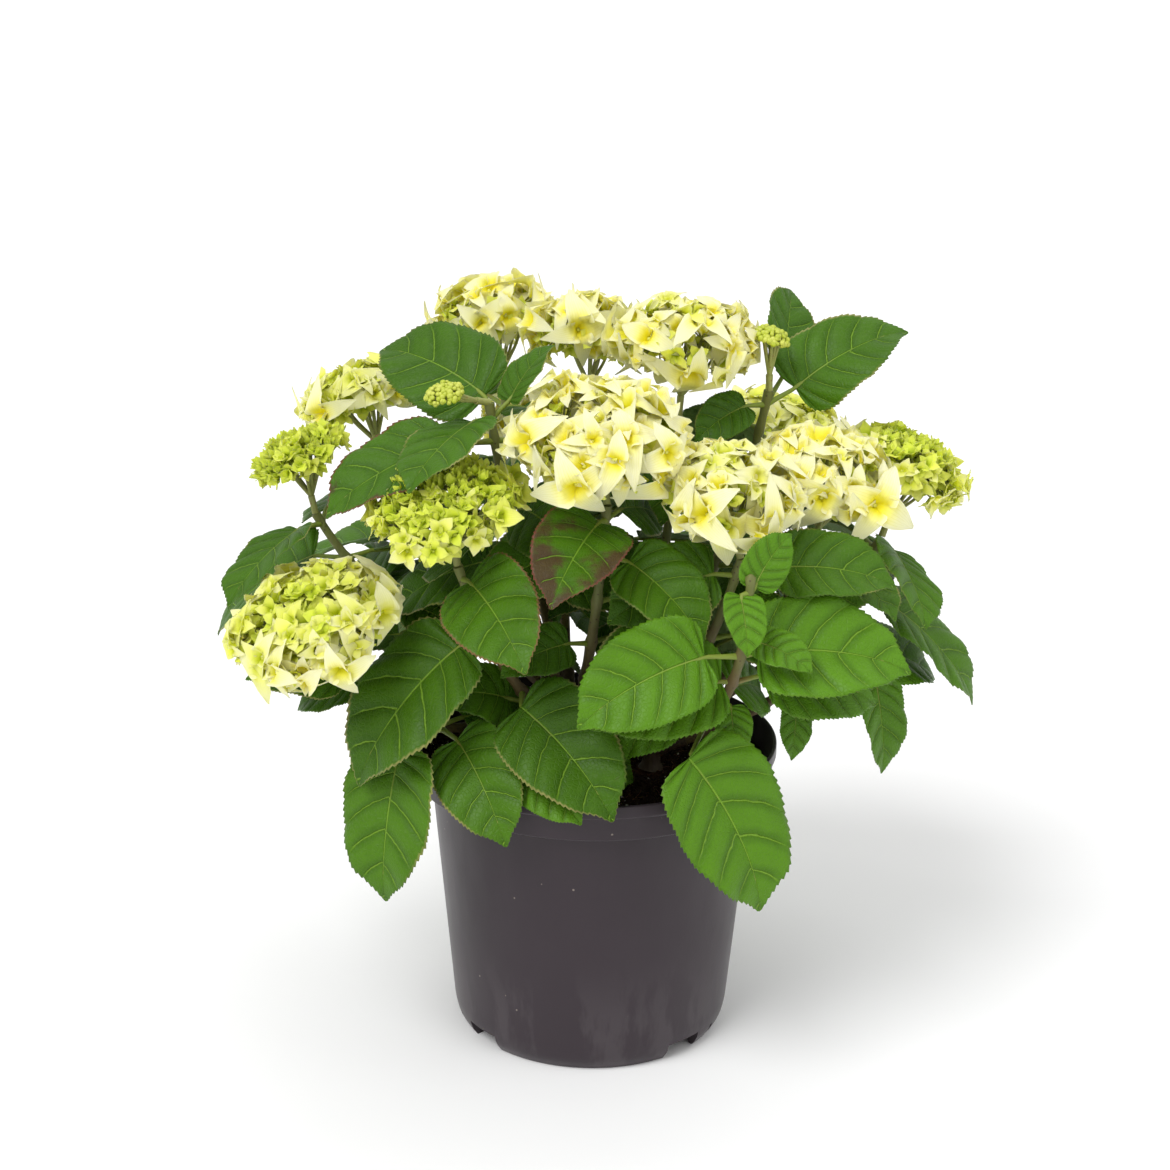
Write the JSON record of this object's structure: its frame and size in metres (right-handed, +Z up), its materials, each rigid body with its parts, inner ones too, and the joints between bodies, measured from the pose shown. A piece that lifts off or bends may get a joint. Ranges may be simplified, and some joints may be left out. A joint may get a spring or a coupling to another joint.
{
  "type": "potted hydrangea",
  "caption": "A bigleaf hydrangea with cream flower heads, green bud clusters and broad toothed leaves, growing in a round plastic nursery pot.",
  "frame": {"origin": "the middle of the pot's flat underside, on the pot's axis", "axes": "+Z up along the pot's axis; -Y towards the side with the most open flower heads; +X to the right seen from there"},
  "size_m": [0.4832, 0.4102, 0.463],
  "materials": {
    "pot": "satin moulded plastic",
    "soil": "moist peat with fibres",
    "cane": "rough bark",
    "shoot": "smooth mottled green stem",
    "leaf": "satin leaf",
    "blossom": "soft petals"
  },
  "bodies": {
    "root": {"pot": "pot", "soil": "soil", "cane_left": "cane", "cane_front": "cane", "cane_right": "cane", "cane_back_left": "cane", "cane_back_right": "cane", "shoot_middle_left": "shoot", "leaves_middle_left": "leaf", "bloom_middle_left": "blossom", "shoot_front_middle": "shoot", "leaves_front_middle": "leaf", "bloom_front_middle": "blossom", "shoot_front_left": "shoot", "leaves_front_left": "leaf", "bloom_front_left": "blossom", "shoot_front_right": "shoot", "leaves_front_right": "leaf", "bloom_front_right": "blossom", "shoot_young_right": "shoot", "leaves_young_right": "leaf", "shoot_right": "shoot", "leaves_right": "leaf", "bloom_right": "blossom", "shoot_far_right": "shoot", "leaves_far_right": "leaf", "bloom_far_right": "blossom", "shoot_left": "shoot", "leaves_left": "leaf", "bloom_left": "blossom", "shoot_far_left": "shoot", "leaves_far_left": "leaf", "bloom_far_left": "blossom", "shoot_back_left_high": "shoot", "leaves_back_left_high": "leaf", "bloom_back_left_high": "blossom", "shoot_back_top_left": "shoot", "leaves_back_top_left": "leaf", "bloom_back_top_left": "blossom", "shoot_top_middle": "shoot", "leaves_top_middle": "leaf", "bloom_top_middle": "blossom", "shoot_top_right": "shoot", "leaves_top_right": "leaf", "bloom_top_right": "blossom", "shoot_high_right": "shoot", "leaves_high_right": "leaf", "bloom_high_right": "blossom", "shoot_back_middle": "shoot", "leaves_back_middle": "leaf", "bloom_back_middle": "blossom", "shoot_back_right": "shoot", "leaves_back_right": "leaf", "bloom_back_right": "blossom", "leaves_low_left": "leaf", "leaves_low_front": "leaf", "leaves_low_right": "leaf", "leaves_low_back_right": "leaf", "leaves_low_back_left": "leaf"}
  },
  "joints": []
}
